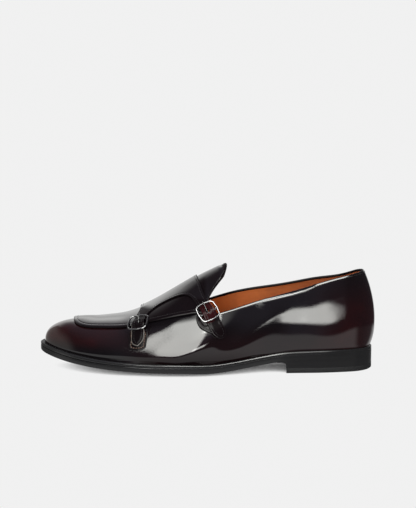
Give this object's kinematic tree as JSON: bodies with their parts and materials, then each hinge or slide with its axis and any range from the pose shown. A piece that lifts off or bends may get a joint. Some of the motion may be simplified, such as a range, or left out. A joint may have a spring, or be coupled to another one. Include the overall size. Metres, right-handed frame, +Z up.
{
  "type": "loafer",
  "caption": "Low leather loafer with a raised apron, a saddle split into two buckled straps around an arched cut-out, a thin sole and a low heel.",
  "frame": {"origin": "middle of the shoe's plan, on the floor", "axes": "-X to the toe, -Y to the outer side of the foot, +Z up"},
  "size_m": [0.3006, 0.1028, 0.0939],
  "materials": {
    "upper_leather": "high-gloss polished leather, black worn through to burgundy",
    "saddle_leather": "high-gloss polished black leather",
    "lining_leather": "matt tan lining leather",
    "sole_leather": "satin black edge dressing",
    "heel_rubber": "matt",
    "buckle_metal": "polished nickel"
  },
  "bodies": {
    "root": {"upper": "upper_leather", "apron_tongue": "upper_leather", "saddle": "saddle_leather", "tab_front": "saddle_leather", "tab_rear": "saddle_leather", "insole": "lining_leather", "midsole": "sole_leather", "outsole": "sole_leather", "heel_stack": "sole_leather", "top_lift": "heel_rubber", "buckle_front": "buckle_metal", "buckle_rear": "buckle_metal", "prong_front": "buckle_metal", "prong_rear": "buckle_metal"}
  },
  "joints": []
}
